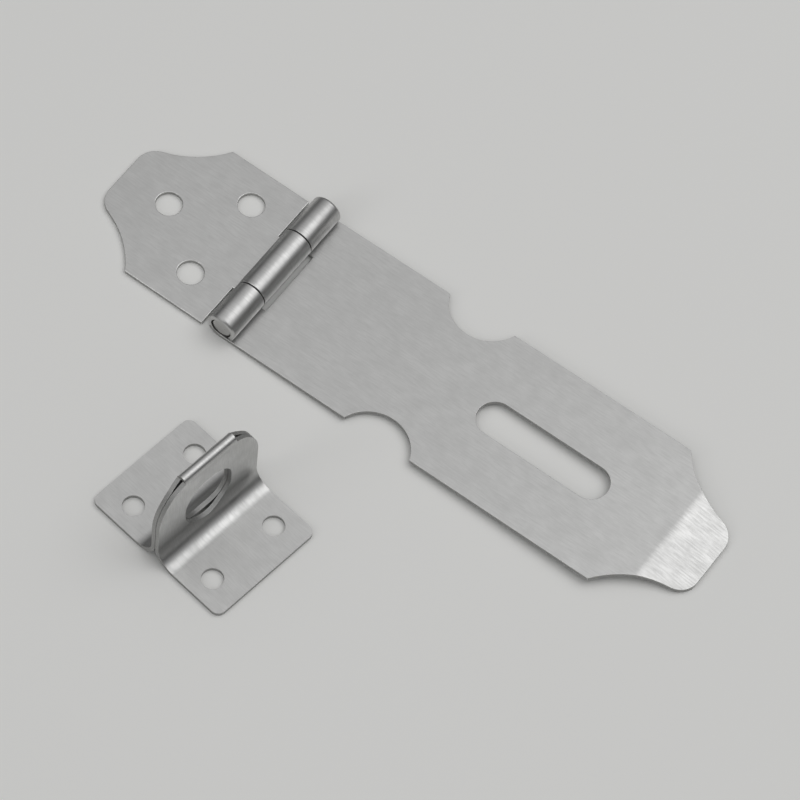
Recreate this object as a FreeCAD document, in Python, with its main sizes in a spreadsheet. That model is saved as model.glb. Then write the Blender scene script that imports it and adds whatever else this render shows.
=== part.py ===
import FreeCAD, Part
import math
import os
import Sketcher

# A pressed sheet safety hasp: a fixed leaf, a long slotted strap, the pin that joins them, and a
# loose staple folded from the same sheet. The hinge axis runs along Y above x = 0, the strap points
# along +X, and the surface that everything is screwed to is z = 0.

# Every driving size, in millimetres or degrees.
SIZES = {
    # sheet and hinge barrel
    "sheet_gauge": 0.95,
    "hasp_width": 37.3,
    "pin_radius": 2.5,
    "pin_clearance": 0.05,
    "pin_recess": 0.3,
    "pin_bevel": 0.35,
    "middle_knuckle": 15.9,
    "knuckle_gap": 0.3,
    "seam_gap": 0.25,
    # fixed leaf
    "leaf_reach": 39.6,
    "leaf_relief": 1.3,
    "leaf_shoulder": 24.9,
    "leaf_hollow": 22.4,
    "leaf_near_screws": 13.9,
    "leaf_screw_spacing": 21.0,
    "leaf_far_screw": 27.6,
    "leaf_screw_hole": 5.8,
    # strap
    "strap_reach": 110.4,
    "strap_relief": 0.4,
    "strap_shoulder": 92.6,
    "strap_hollow": 23.4,
    "grip_place": 40.0,
    "grip_radius": 8.72,
    "grip_offset": 2.92,
    "slot_near": 52.5,
    "slot_far": 84.5,
    "slot_width": 8.3,
    "bend_place": 99.3,
    "bend_angle": 10.4,
    "bend_radius": 8.0,
    # both noses
    "nose_width": 19.3,
    "nose_corner": 4.7,
    # staple
    "staple_length": 27.7,
    "staple_width": 36.6,
    "staple_height": 26.2,
    "staple_bend": 4.5,
    "staple_corner": 1.8,
    "layer_gap": 0.1,
    "fold_radius": 1.25,
    "fold_flare": 2.2,
    "fold_length": 14.1,
    "crown_height": 13.1,
    "eye_width": 12.8,
    "eye_height": 14.7,
    "eye_centre": 11.1,
    "staple_screw_hole": 4.7,
    "staple_screws_along": 17.3,
    "staple_screws_across": 22.8,
    "staple_x": 22.8,
    "staple_y": -54.3,
    "staple_turn": 81.7,
}
OVERCUT = 3.0
SHEET_NAME = "Sizes"
HORIZONTAL_AXIS = -1
VERTICAL_AXIS = -2
START, END, CENTRE = 1, 2, 3
FAULTS = {"Invalid", "Error"}


class Measure:
    """A size, both as a number and as the expression that works it out from the sheet."""

    def __init__(self, number, text):
        self.number = number
        self.text = text

    def __add__(self, other):
        other = measure(other)
        return Measure(self.number + other.number, f"({self.text} + {other.text})")

    def __sub__(self, other):
        other = measure(other)
        return Measure(self.number - other.number, f"({self.text} - {other.text})")

    def __mul__(self, other):
        other = measure(other)
        return Measure(self.number * other.number, f"({self.text} * {other.text})")

    def __truediv__(self, other):
        other = measure(other)
        return Measure(self.number / other.number, f"({self.text} / {other.text})")

    def __neg__(self):
        return self * -1


def measure(value):
    """A plain number as a Measure; a Measure as it is."""
    return value if isinstance(value, Measure) else Measure(value, f"({value})")


def size(name):
    """A driving size of the sheet."""
    return Measure(SIZES[name], f"{SHEET_NAME}.{name}")


def root(value):
    return Measure(math.sqrt(value.number), f"sqrt({value.text})")


def sine(angle):
    return Measure(math.sin(math.radians(angle.number)), f"sin({angle.text})")


def cosine(angle):
    return Measure(math.cos(math.radians(angle.number)), f"cos({angle.text})")


def arctangent(slope):
    return Measure(math.degrees(math.atan(slope.number)), f"atan({slope.text})")


def arcsine(ratio):
    return Measure(math.degrees(math.asin(ratio.number)), f"asin({ratio.text})")


def make_sheet(doc):
    """The spreadsheet of driving sizes: names in column A, numbers with aliases in column B."""
    sheet = doc.addObject("Spreadsheet::Sheet", SHEET_NAME)
    for row, (name, number) in enumerate(SIZES.items(), start=1):
        sheet.set(f"A{row}", name)
        sheet.set(f"B{row}", str(number))
        sheet.setAlias(f"B{row}", name)


def make_body(doc, label):
    body = doc.addObject("PartDesign::Body", label)
    body.Label = label
    return body


def plane(body, role):
    return next(item for item in body.Origin.OriginFeatures if item.Role == role)


def make_sketch(body, name, role):
    sketch = body.newObject("Sketcher::SketchObject", name)
    sketch.AttachmentSupport = [(plane(body, role), "")]
    sketch.MapMode = "FlatFace"
    return sketch


def dimension(sketch, constraint, value):
    """Add a dimension and bind it to the sheet."""
    index = sketch.addConstraint(constraint)
    sketch.setExpression(f"Constraints[{index}]", value.text)


def hold(sketch, kind, item, point, distance):
    """Hold a point at a signed distance from the origin, along X or along Y."""
    if distance.number > 0:
        dimension(sketch, Sketcher.Constraint(kind, -1, 1, item, point, distance.number), distance)
    elif distance.number < 0:
        dimension(sketch, Sketcher.Constraint(kind, item, point, -1, 1, -distance.number), -distance)
    else:
        axis = VERTICAL_AXIS if kind == "DistanceX" else HORIZONTAL_AXIS
        sketch.addConstraint(Sketcher.Constraint("PointOnObject", item, point, axis))


def hold_point(sketch, item, point, place):
    hold(sketch, "DistanceX", item, point, place[0])
    hold(sketch, "DistanceY", item, point, place[1])


def vector(place):
    return FreeCAD.Vector(place[0].number, place[1].number, 0)


def arc_between(begin, finish, centre, turns_left):
    """The arc about a centre from begin to finish, turning left or right."""
    first, last = (begin, finish) if turns_left else (finish, begin)
    radius = (vector(begin) - vector(centre)).Length
    angles = [math.atan2(*reversed((vector(p) - vector(centre))[:2])) for p in (first, last)]
    if angles[1] <= angles[0]:
        angles[1] += 2 * math.pi
    circle = Part.Circle(vector(centre), FreeCAD.Vector(0, 0, 1), radius)
    return Part.ArcOfCircle(circle, *angles)


def draw_outline(sketch, steps):
    """A closed outline. A step is a corner, or a corner with the centre and the hand of the arc
    that leads to it from the corner before."""
    steps = [tuple(map(measure, step[:2])) + tuple(step[2:]) for step in steps]
    ends = []
    for before, step in zip([steps[-1]] + steps[:-1], steps):
        begin, finish = before[:2], step[:2]
        if len(step) == 2:
            item = sketch.addGeometry(Part.LineSegment(vector(begin), vector(finish)))
            ends.append((item, START, END))
            continue
        centre = tuple(map(measure, step[2]))
        turns_left = step[3]
        item = sketch.addGeometry(arc_between(begin, finish, centre, turns_left))
        ends.append((item, START, END) if turns_left else (item, END, START))
        chord = vector(finish) - vector(begin)
        if abs(chord.x) > abs(chord.y):
            hold(sketch, "DistanceY", item, CENTRE, centre[1])
        else:
            hold(sketch, "DistanceX", item, CENTRE, centre[0])
    for here, after, step in zip(ends, ends[1:] + ends[:1], steps):
        sketch.addConstraint(Sketcher.Constraint("Coincident", here[0], here[2], after[0], after[1]))
        hold_point(sketch, here[0], here[2], step[:2])


def draw_circles(sketch, places, diameter):
    """Circles of one diameter, for holes."""
    for place in places:
        place = tuple(map(measure, place))
        circle = Part.Circle(vector(place), FreeCAD.Vector(0, 0, 1), diameter.number / 2)
        item = sketch.addGeometry(circle)
        dimension(sketch, Sketcher.Constraint("Diameter", item, diameter.number), diameter)
        hold_point(sketch, item, CENTRE, place)


def pad(body, sketch, length):
    """Raise a sketch equally to both sides of its plane."""
    feature = body.newObject("PartDesign::Pad", sketch.Name.replace("Sketch", "Pad"))
    feature.Profile = sketch
    feature.SideType = "Symmetric"
    feature.setExpression("Length", length.text)
    sketch.Document.recompute()


def pocket(body, sketch):
    """Cut a sketch right through the body, both ways, and make sure that it cuts."""
    before = body.Shape.Volume
    feature = body.newObject("PartDesign::Pocket", sketch.Name.replace("Sketch", "Cut"))
    feature.Profile = sketch
    feature.SideType = "Symmetric"
    feature.Type = "ThroughAll"
    sketch.Document.recompute()
    if body.Shape.Volume >= before:
        raise ValueError(f"{feature.Name} removes nothing")
    return feature


def mirror(body, features, role, name):
    """Repeat cuts on the other side of one of the body's own planes."""
    before = body.Shape.Volume
    feature = body.newObject("PartDesign::Mirrored", name)
    feature.Originals = features
    feature.MirrorPlane = (plane(body, role), [""])
    body.Tip = feature
    body.Document.recompute()
    if body.Shape.Volume >= before:
        raise ValueError(f"{name} removes nothing")


def axis_height():
    """The hinge axis above the surface: the leaf's knuckle rests on it."""
    return size("pin_radius") + size("pin_clearance") + size("sheet_gauge")


def rolled_end(side, bore):
    """The steps that roll a sheet into a knuckle: from the tangent point under the barrel, round the
    far side and over the top, to a seam just above the sheet; then back round the bore. The sheet
    lies towards side, +1 or -1 along X."""
    outer = bore + size("sheet_gauge")
    axis = (measure(0), axis_height())
    depth = outer - size("sheet_gauge") - size("seam_gap")
    reach = root(outer * outer - depth * depth) * side
    shrink = bore / outer
    tangent = axis[1] - outer
    return [
        (0, tangent),
        (reach, axis[1] - depth, axis, side < 0),
        (reach * shrink, axis[1] - depth * shrink),
        (0, tangent + size("sheet_gauge"), axis, side > 0),
    ]


def draw_nose_waste(sketch, side, shoulder, hollow, reach):
    """The waste beside a nose, on its +Y side: a hollow sweep from the shoulder, meeting the nose's
    own rounded corner with no break."""
    half_width = size("hasp_width") / 2
    corner = size("nose_corner")
    rounding = (reach - corner, size("nose_width") / 2 - corner)
    away = FreeCAD.Vector(rounding[0].number - shoulder.number, rounding[1].number - half_width.number, 0)
    along = away.Length
    spread = hollow.number + corner.number
    foot = (hollow.number**2 - spread**2 + along**2) / (2 * along)
    rise = math.sqrt(hollow.number**2 - foot**2)
    heading = away / along
    start = FreeCAD.Vector(shoulder.number, half_width.number, 0)
    hollow_centre = start + heading * foot + FreeCAD.Vector(-heading.y, heading.x, 0) * rise
    corner_centre = start + away
    meeting = hollow_centre + (corner_centre - hollow_centre) * (hollow.number / spread)

    def place(point):
        return tuple(measure(number) for number in (point.x * side, point.y))

    sweep_in = arc_between(place(start), place(meeting), place(hollow_centre), side > 0)
    tip = corner_centre + FreeCAD.Vector(corner.number, 0, 0)
    round_off = arc_between(place(meeting), place(tip), place(corner_centre), side < 0)
    beyond = reach + OVERCUT
    outside = half_width + OVERCUT
    corners = [
        (reach * side, rounding[1]),
        (beyond * side, rounding[1]),
        (beyond * side, outside),
        (shoulder * side, outside),
        (shoulder * side, half_width),
    ]
    first, last = (START, END) if side > 0 else (END, START)
    sweep = sketch.addGeometry(sweep_in)
    rounded = sketch.addGeometry(round_off)
    sketch.addConstraint(Sketcher.Constraint("Tangent", sweep, last, rounded, last))
    hold_point(sketch, sweep, first, corners[-1])
    dimension(sketch, Sketcher.Constraint("Radius", sweep, hollow.number), hollow)
    dimension(sketch, Sketcher.Constraint("Radius", rounded, corner.number), corner)
    hold_point(sketch, rounded, CENTRE, (rounding[0] * side, rounding[1]))
    hold(sketch, "DistanceY", rounded, first, rounding[1])
    previous, previous_end = rounded, first
    for begin, finish in zip(corners, corners[1:]):
        line = sketch.addGeometry(Part.LineSegment(vector(begin), vector(finish)))
        sketch.addConstraint(Sketcher.Constraint("Coincident", previous, previous_end, line, START))
        if finish is not corners[-1]:
            hold_point(sketch, line, END, finish)
        previous, previous_end = line, END
    sketch.addConstraint(Sketcher.Constraint("Coincident", previous, previous_end, sweep, first))


def draw_slot(sketch, near, far, radius):
    """A slot with round ends along X, between the centres of its ends."""
    draw_outline(sketch, [
        (far[0], far[1] - radius),
        (far[0], far[1] + radius, far, True),
        (near[0], near[1] + radius),
        (near[0], near[1] - radius, near, True),
    ])


def draw_upright_slot(sketch, low, high, radius):
    """A slot with round ends standing up, between the centres of its ends."""
    draw_outline(sketch, [
        (high[0] + radius, high[1]),
        (high[0] - radius, high[1], high, True),
        (low[0] - radius, low[1]),
        (low[0] + radius, low[1], low, True),
    ])


def cut_rectangle(body, name, low, high):
    """Cut a rectangle seen from above, between two opposite corners."""
    sketch = make_sketch(body, name, "XY_Plane")
    draw_outline(sketch, [low, (high[0], low[1]), high, (low[0], high[1])])
    return pocket(body, sketch)


def cut_nose(body, side, shoulder, hollow, reach):
    sketch = make_sketch(body, "NoseSketch", "XY_Plane")
    draw_nose_waste(sketch, side, shoulder, hollow, reach)
    return pocket(body, sketch)


def make_fixed_leaf(doc):
    """The leaf that stays screwed down, with the middle knuckle of the barrel."""
    body = make_body(doc, "fixed_leaf")
    gauge = size("sheet_gauge")
    reach = size("leaf_reach")
    bore = size("pin_radius") + size("pin_clearance")
    section = make_sketch(body, "SectionSketch", "XZ_Plane")
    draw_outline(section, rolled_end(-1, bore) + [(-reach, gauge), (-reach, 0)])
    pad(body, section, size("hasp_width"))

    nose = cut_nose(body, -1, size("leaf_shoulder"), size("leaf_hollow"), reach)
    mirror(body, [nose], "XZ_Plane", "NoseMirror")
    barrel = bore + gauge
    tab = size("middle_knuckle") / 2
    beside = cut_rectangle(
        body,
        "KnuckleSketch",
        (-(barrel + size("leaf_relief")), tab),
        (barrel + OVERCUT, size("hasp_width") / 2 + OVERCUT),
    )
    mirror(body, [beside], "XZ_Plane", "KnuckleMirror")

    holes = make_sketch(body, "ScrewSketch", "XY_Plane")
    half_spacing = size("leaf_screw_spacing") / 2
    places = [(-size("leaf_near_screws"), half_spacing * hand) for hand in (-1, 1)]
    draw_circles(holes, places + [(-size("leaf_far_screw"), 0)], size("leaf_screw_hole"))
    pocket(body, holes)
    return body


def nose_fold():
    """The steps of the strap's section round its nose, from the top of the flat to its underside."""
    gauge = size("sheet_gauge")
    angle = size("bend_angle")
    under = size("bend_radius")
    over = under + gauge
    base = size("pin_clearance")
    start = size("bend_place")
    centre = (start, base - under)
    flat = (size("strap_reach") - start - over * sine(angle)) / cosine(angle)
    top_bend = (start + over * sine(angle), centre[1] + over * cosine(angle))
    low_bend = (start + under * sine(angle), centre[1] + under * cosine(angle))
    along = (flat * cosine(angle), -(flat * sine(angle)))
    top_tip = (top_bend[0] + along[0], top_bend[1] + along[1])
    low_tip = (low_bend[0] + along[0], low_bend[1] + along[1])
    return [
        (start, base + gauge),
        (*top_bend, centre, False),
        top_tip,
        low_tip,
        low_bend,
        (start, base, centre, True),
    ], low_tip


def make_hasp_strap(doc):
    """The long strap with the two outer knuckles, its slot, finger grips and turned-down nose.
    It lies as it does when it is opened out flat: the edge of its nose rests on the surface."""
    body = make_body(doc, "hasp_strap")
    steps, nose_edge = nose_fold()
    section = make_sketch(body, "SectionSketch", "XZ_Plane")
    draw_outline(section, rolled_end(1, size("pin_radius")) + steps)
    pad(body, section, size("hasp_width"))

    half_width = size("hasp_width") / 2
    nose = cut_nose(body, 1, size("strap_shoulder"), size("strap_hollow"), size("strap_reach"))
    grip = make_sketch(body, "GripSketch", "XY_Plane")
    draw_circles(grip, [(size("grip_place"), half_width + size("grip_offset"))], size("grip_radius") * 2)
    mirror(body, [nose, pocket(body, grip)], "XZ_Plane", "EdgeMirror")

    barrel = axis_height()
    gap = size("middle_knuckle") / 2 + size("knuckle_gap")
    relief = barrel + size("strap_relief")
    cut_rectangle(body, "KnuckleSketch", (-(barrel + OVERCUT), -gap), (relief, gap))

    slot = make_sketch(body, "SlotSketch", "XY_Plane")
    radius = size("slot_width") / 2
    middle = measure(0)
    draw_slot(slot, (size("slot_near") + radius, middle), (size("slot_far") - radius, middle), radius)
    pocket(body, slot)

    lift = rest_lift(barrel, nose_edge)
    set_down(body, (0, -1, 0), lift, {"x": barrel * sine(lift), "z": barrel - barrel * cosine(lift)})
    return body


def rest_lift(axis_height, nose_edge):
    """The angle that the strap must turn up about the hinge for its nose's lower edge to lie on the
    surface."""
    drop = axis_height - nose_edge[1]
    span = root(nose_edge[0] * nose_edge[0] + drop * drop)
    return arctangent(drop / nose_edge[0]) - arcsine(axis_height / span)


def set_down(body, axis, angle, places):
    """Turn a body about an axis and move it, bound to the sheet."""
    move = FreeCAD.Vector(*(places[key].number if key in places else 0 for key in "xyz"))
    body.Placement = FreeCAD.Placement(move, FreeCAD.Rotation(FreeCAD.Vector(*axis), angle.number))
    body.setExpression("Placement.Rotation.Angle", angle.text)
    for key, place in places.items():
        body.setExpression(f"Placement.Base.{key}", place.text)


def make_hinge_pin(doc):
    """The plain pin, gripped by the strap's knuckles and free in the leaf's, set in at both ends."""
    body = make_body(doc, "hinge_pin")
    section = make_sketch(body, "SectionSketch", "XZ_Plane")
    draw_circles(section, [(0, axis_height())], size("pin_radius") * 2)
    pad(body, section, size("hasp_width") - size("pin_recess") * 2)
    rod = body.Tip
    rims = [f"Edge{i}" for i, edge in enumerate(rod.Shape.Edges, start=1) if edge.Closed]
    bevel = body.newObject("PartDesign::Chamfer", "EndBevel")
    bevel.Base = (rod, rims)
    bevel.setExpression("Size", size("pin_bevel").text)
    return body


def draw_folded_strip(sketch):
    """The staple's section: out from one edge of the base, up one layer, over the fold, down the
    other layer and out to the other edge, then back along the strip's other face."""
    gauge = size("sheet_gauge")
    half_gap = size("layer_gap") / 2
    half_width = size("staple_width") / 2
    face = half_gap + gauge
    toe = face + size("staple_bend")
    spring = gauge + size("staple_bend")
    fold = size("fold_radius")
    inner = fold - gauge
    crest = size("staple_height") - fold
    flare = crest - size("fold_flare")
    draw_outline(sketch, [
        (-half_width, 0),
        (-toe, 0),
        (-half_gap, spring, (-toe, spring), True),
        (-half_gap, flare),
        (-inner, crest),
        (inner, crest, (0, crest), False),
        (half_gap, flare),
        (half_gap, spring),
        (toe, 0, (toe, spring), True),
        (half_width, 0),
        (half_width, gauge),
        (toe, gauge),
        (face, spring, (toe, spring), False),
        (face, flare),
        (fold, crest),
        (-fold, crest, (0, crest), True),
        (-face, flare),
        (-face, spring),
        (-toe, gauge, (-toe, spring), False),
        (-half_width, gauge),
    ])


def make_staple(doc):
    """The staple: one strip folded double into an upright fin with an oval eye, its two ends bent
    outwards as a base. It is drawn with the fin along X and set down beside the strap."""
    body = make_body(doc, "staple")
    section = make_sketch(body, "SectionSketch", "YZ_Plane")
    draw_folded_strip(section)
    pad(body, section, size("staple_length"))

    half_length = size("staple_length") / 2
    half_fold = size("fold_length") / 2
    crown = size("crown_height")
    above = size("staple_height") + OVERCUT
    rise = root(half_length * half_length - half_fold * half_fold)
    shoulder = make_sketch(body, "ShoulderSketch", "XZ_Plane")
    draw_outline(shoulder, [
        (half_length, crown, (0, crown), False),
        (half_length + OVERCUT, crown),
        (half_length + OVERCUT, above),
        (half_fold, above),
        (half_fold, crown + rise),
    ])
    mirror(body, [pocket(body, shoulder)], "YZ_Plane", "ShoulderMirror")

    eye = make_sketch(body, "EyeSketch", "XZ_Plane")
    radius = size("eye_width") / 2
    half_eye = size("eye_height") / 2 - radius
    centre = size("eye_centre")
    draw_upright_slot(eye, (measure(0), centre - half_eye), (measure(0), centre + half_eye), radius)
    pocket(body, eye)

    holes = make_sketch(body, "ScrewSketch", "XY_Plane")
    along = size("staple_screws_along") / 2
    across = size("staple_screws_across") / 2
    places = [(along * i, across * j) for i in (-1, 1) for j in (-1, 1)]
    draw_circles(holes, places, size("staple_screw_hole"))
    pocket(body, holes)

    round_base_corners(body)
    places = {"x": size("staple_x"), "y": size("staple_y")}
    set_down(body, (0, 0, 1), size("staple_turn"), places)
    return body


def round_base_corners(body):
    """Round the four upright edges at the corners of the staple's base."""
    tip = body.Tip
    half_length = SIZES["staple_length"] / 2
    half_width = SIZES["staple_width"] / 2

    def is_corner(edge):
        low, high = edge.BoundBox.ZMin, edge.BoundBox.ZMax
        middle = edge.BoundBox.Center
        return (
            high - low > SIZES["sheet_gauge"] / 2
            and math.isclose(abs(middle.x), half_length, abs_tol=1e-4)
            and math.isclose(abs(middle.y), half_width, abs_tol=1e-4)
        )

    corners = [f"Edge{i}" for i, edge in enumerate(tip.Shape.Edges, start=1) if is_corner(edge)]
    rounding = body.newObject("PartDesign::Fillet", "CornerRounding")
    rounding.Base = (tip, corners)
    rounding.setExpression("Radius", size("staple_corner").text)


def main():
    os.makedirs("parts", exist_ok=True)
    doc = FreeCAD.newDocument("HaspAndStaple")
    make_sheet(doc)
    doc.recompute()
    bodies = [make_fixed_leaf(doc), make_hasp_strap(doc), make_hinge_pin(doc), make_staple(doc)]
    doc.recompute()
    for item in doc.Objects:
        if FAULTS & set(item.State):
            raise ValueError(f"{item.Name} did not build: {item.State}")
    for body in bodies:
        if body.Shape.isNull() or not body.Shape.isValid() or len(body.Shape.Solids) != 1:
            raise ValueError(f"{body.Label} is not one valid solid")
    for body in bodies:
        body.Shape.exportStep(f"parts/{body.Label}.step")


main()
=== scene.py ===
import math

import bpy
from mathutils import Matrix, Vector


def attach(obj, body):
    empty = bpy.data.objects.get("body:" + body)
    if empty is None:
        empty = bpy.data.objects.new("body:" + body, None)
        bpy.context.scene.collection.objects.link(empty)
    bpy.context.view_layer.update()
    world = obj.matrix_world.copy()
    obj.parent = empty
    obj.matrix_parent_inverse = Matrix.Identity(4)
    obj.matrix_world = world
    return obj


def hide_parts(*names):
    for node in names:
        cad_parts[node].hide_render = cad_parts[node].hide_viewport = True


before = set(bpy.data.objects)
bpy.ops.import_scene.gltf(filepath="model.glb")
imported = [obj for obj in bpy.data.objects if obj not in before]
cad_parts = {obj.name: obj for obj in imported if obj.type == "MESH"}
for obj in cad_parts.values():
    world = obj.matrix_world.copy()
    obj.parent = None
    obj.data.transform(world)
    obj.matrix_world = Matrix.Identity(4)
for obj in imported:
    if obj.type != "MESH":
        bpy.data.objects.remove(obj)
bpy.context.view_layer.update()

bl_info = {
    "name": "Hasp and Staple",
    "version": (1, 0, 0),
    "blender": (4, 5, 0),
    "location": "View3D > Sidebar > Hasp",
    "description": "A pressed stainless hasp and its folded staple, made around their working parts",
    "category": "Object",
}

MM = 0.001

# How cutters and bends are made.
OVERCUT = 3 * MM
CUTTER_REACH = 100 * MM
WELD = 0.001 * MM
RIM_SLACK = 10 * WELD
ARC_STEP = math.radians(5)
FEWEST_STEPS = 4
BEHIND_A_BEND = math.radians(20)
THREE_QUARTER_TURN = math.radians(270)
HOLE_SIDES = 72
PIN_SIDES = 96
EDGE_SEGMENTS = 3
CORNER_SEGMENTS = 8

# How edges are shaded: smoothly where faces meet below the first angle, and eased above the second.
SMOOTH_BELOW = math.radians(30)
SHARP_ABOVE = math.radians(35)

# The place of a point in its flat strip, and the order of each piece's materials.
FLAT_PLACE = "flat_place"
# The cut face's material is greyer partly as painted shade, and the rubbed edge's is brighter as a painted
# highlight.
SURFACE, CUT_FACE, RUBBED_HIGHLIGHT_EDGE = 0, 1, 2
# The pin's second material is painted shade: a dark ring in the bevel round each end.
SHADED_BEVEL = 1

# The pin's flat ends are faces whose normal's Y is above the first value. Past the bevel's foot,
# the faces whose normal's Y is below the second are the bevel.
END_SLOPE = 0.9
BEVEL_SLOPE = 0.98

# What a smudge adds to the sheet's roughness.
SMUDGE_DULLING = 0.07

# The floor lies just under the parts. The camera's film width is in millimetres, as its lens is.
FLOOR_DROP = 0.02 * MM
NEAREST_SEEN = 10 * MM
FILM_WIDTH = 36


def length(name, description, millimetres):
    """A length property, whose default is given in millimetres."""
    return bpy.props.FloatProperty(
        name=name, description=description, default=millimetres * MM, unit="LENGTH", precision=5
    )


def position(name, description, millimetres):
    """A place property, whose default is given in millimetres."""
    return bpy.props.FloatVectorProperty(
        name=name,
        description=description,
        default=[number * MM for number in millimetres],
        unit="LENGTH",
        precision=5,
    )


def angle(name, description, degrees):
    """An angle property, whose default is given in degrees."""
    return bpy.props.FloatProperty(
        name=name, description=description, default=math.radians(degrees), subtype="ANGLE"
    )


def linear(code):
    """A colour written as sRGB hex, as the linear values that shaders and lights use."""
    parts = [int(code[i : i + 2], 16) / 255 for i in (0, 2, 4)]
    return [c / 12.92 if c <= 0.04045 else ((c + 0.055) / 1.055) ** 2.4 for c in parts]


def colour(name, description, code):
    """A colour property, whose default is given as sRGB hex."""
    return bpy.props.FloatVectorProperty(
        name=name, description=description, default=linear(code), subtype="COLOR", min=0, max=1
    )


# ---------------------------------------------------------------- sizes and colours


class SheetSizes(bpy.types.PropertyGroup):
    """The sheet that both leaves and the staple are pressed from, and the barrel it is rolled into."""

    gauge: length("Gauge", "Thickness of the sheet", 0.95)
    width: length("Width", "Width of both leaves and of the barrel", 37.3)
    pin_radius: length("Pin Radius", "Radius of the hinge pin", 2.5)
    pin_clearance: length("Pin Clearance", "Room round the pin in the middle knuckle", 0.05)
    middle_knuckle: length("Middle Knuckle", "Length of the middle knuckle", 15.9)
    knuckle_gap: length("Knuckle Gap", "Gap between two knuckles", 0.3)
    seam_gap: length("Seam Gap", "Gap between a rolled end and the sheet", 0.25)
    nose_width: length("Nose Width", "Width of each nose at its end", 19.3)
    nose_corner: length("Nose Corner", "Radius of a nose's corners", 4.7)
    edge_round: length("Edge Round", "How far tumbling has rounded the sheared edges", 0.16)
    knuckle_round: length("Knuckle Round", "Rounding at the barrel's two ends", 0.6)


class LeafSizes(bpy.types.PropertyGroup):
    """The fixed leaf."""

    reach: length("Reach", "From the hinge axis to the end of the nose", 39.6)
    relief: length("Relief", "Gap between the outer knuckles and the leaf", 1.3)
    shoulder: length("Shoulder", "Where the straight edges end", 24.9)
    hollow: length("Hollow", "Radius of the hollow sweep", 22.4)
    near_screws: length("Near Screws", "From the hinge axis to the pair of screw holes", 13.9)
    screw_spacing: length("Screw Spacing", "Between the pair of screw holes", 21.0)
    far_screw: length("Far Screw", "From the hinge axis to the screw hole in the nose", 27.6)
    screw_hole: length("Screw Hole", "Diameter of the screw holes", 5.8)


class StrapSizes(bpy.types.PropertyGroup):
    """The swinging strap."""

    reach: length("Reach", "From the hinge axis to the end of the nose", 110.4)
    relief: length("Relief", "Gap between the middle knuckle and the strap", 0.4)
    shoulder: length("Shoulder", "Where the straight edges end", 92.6)
    hollow: length("Hollow", "Radius of the hollow sweep", 23.4)
    grip_place: length("Grip Place", "From the hinge axis to the middle of the finger grips", 40.0)
    grip_radius: length("Grip Radius", "Radius of the finger grips", 8.72)
    grip_offset: length("Grip Offset", "How far outside the edge a grip's centre lies", 2.92)
    slot_near: length("Slot Near", "Near end of the slot", 52.5)
    slot_far: length("Slot Far", "Far end of the slot", 84.5)
    slot_width: length("Slot Width", "Width of the slot", 8.3)
    bend_place: length("Bend Place", "Where the nose starts to turn down", 99.3)
    bend_angle: angle("Bend Angle", "How far the nose is turned down", 10.4)
    bend_radius: length("Bend Radius", "Radius under the nose's bend", 8.0)


class PinSizes(bpy.types.PropertyGroup):
    """The hinge pin."""

    recess: length("Recess", "How far the pin's ends lie inside the barrel", 0.3)
    bevel: length("Bevel", "Bevel round the pin's ends", 0.35)
    edge_round: length("Edge Round", "Rounding of any edge that stays sharp", 0.05)
    land: length("Land", "Flat ring inside the bevel, which keeps an end's shading flat", 0.1)


class StapleSizes(bpy.types.PropertyGroup):
    """The staple, measured with its fin standing along Y."""

    fin_length: length("Length", "Length along the fin", 27.7)
    width: length("Width", "Width of the base", 36.6)
    height: length("Height", "Height of the fin", 26.2)
    bend: length("Bend", "Inner radius where the base turns up into the fin", 4.5)
    corner: length("Corner", "Radius of the base's corners", 1.8)
    layer_gap: length("Layer Gap", "Gap between the fin's two layers", 0.1)
    fold_radius: length("Fold Radius", "Outer radius of the fold along the top", 1.25)
    fold_flare: length("Fold Flare", "Height over which the layers spread into the fold", 2.2)
    fold_length: length("Fold Length", "Length of the fold along the top", 14.1)
    crown_height: length("Crown Height", "Height of the centre that the shoulders are round", 13.1)
    eye_width: length("Eye Width", "Width of the padlock eye", 12.8)
    eye_height: length("Eye Height", "Height of the padlock eye", 14.7)
    eye_centre: length("Eye Centre", "Height of the middle of the eye", 11.1)
    screw_hole: length("Screw Hole", "Diameter of the screw holes", 4.7)
    screws_along: length("Screws Along", "Between screw holes, along the fin", 17.3)
    screws_across: length("Screws Across", "Between screw holes, across the fin", 22.8)
    across: length("Place Across", "Where the staple stands, along the strap", 22.8)
    beside: length("Place Beside", "Where the staple stands, beside the strap", -54.3)
    turn: angle("Turn", "How the staple is turned, seen from above", -8.3)


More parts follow.
